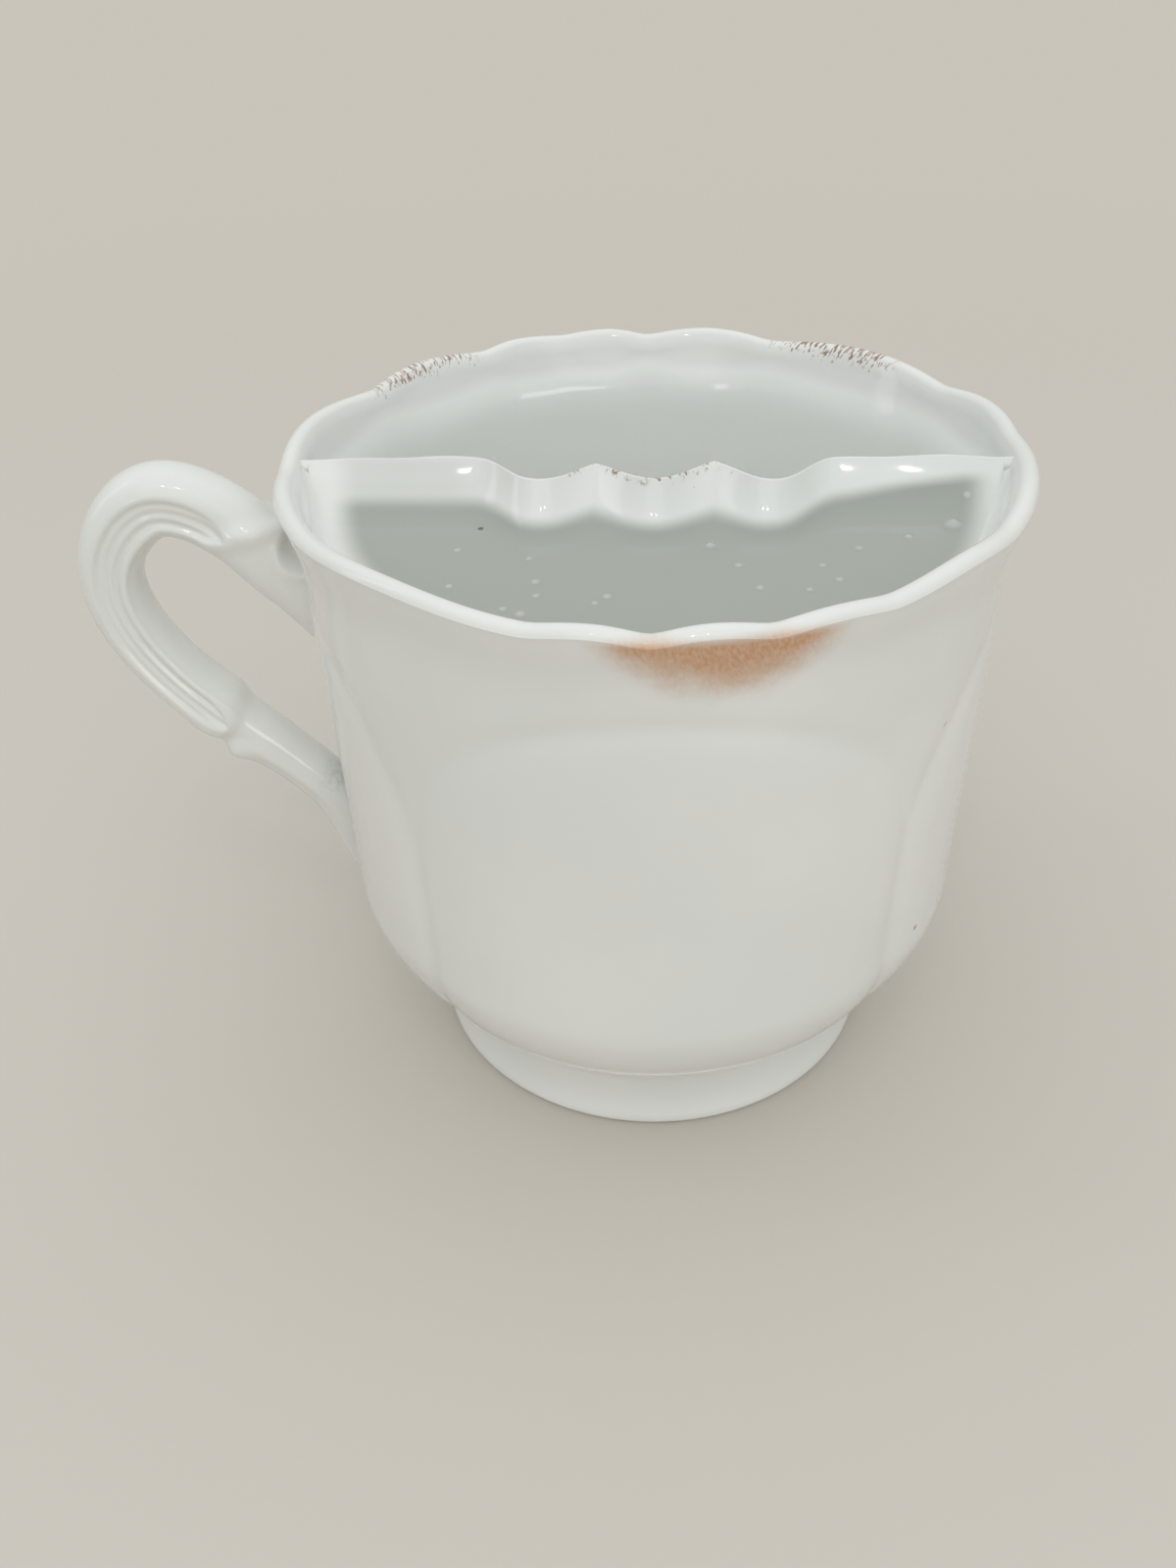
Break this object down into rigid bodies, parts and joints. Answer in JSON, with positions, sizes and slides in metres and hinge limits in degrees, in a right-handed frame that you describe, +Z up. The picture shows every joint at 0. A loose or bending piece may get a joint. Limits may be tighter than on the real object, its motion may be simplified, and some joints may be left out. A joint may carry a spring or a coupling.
{
  "type": "mustache cup",
  "caption": "White porcelain mustache cup with a scalloped rim, a shelf with a wavy edge and drinking slot inside the rim, a reeded scroll handle and a flared foot ring.",
  "frame": {"origin": "on the table, under the cup's axis, in the plane of the foot ring's underside", "axes": "+Z up along the cup's axis, -X towards the handle, -Y towards the drinker and the guarded side of the rim"},
  "size_m": [0.1175, 0.0907, 0.0866],
  "materials": {
    "white_glaze": "glossy, faintly green-white glaze with worn gilding",
    "slip_seam": "glossy glaze over smoothed slip"
  },
  "bodies": {
    "root": {"cup_body": "white_glaze", "foot_ring": "white_glaze", "foot_lute": "slip_seam", "moustache_guard": "white_glaze", "guard_lute_left": "slip_seam", "guard_lute_right": "slip_seam", "handle": "white_glaze", "handle_upper_lute": "slip_seam", "handle_lower_lute": "slip_seam"}
  },
  "joints": []
}
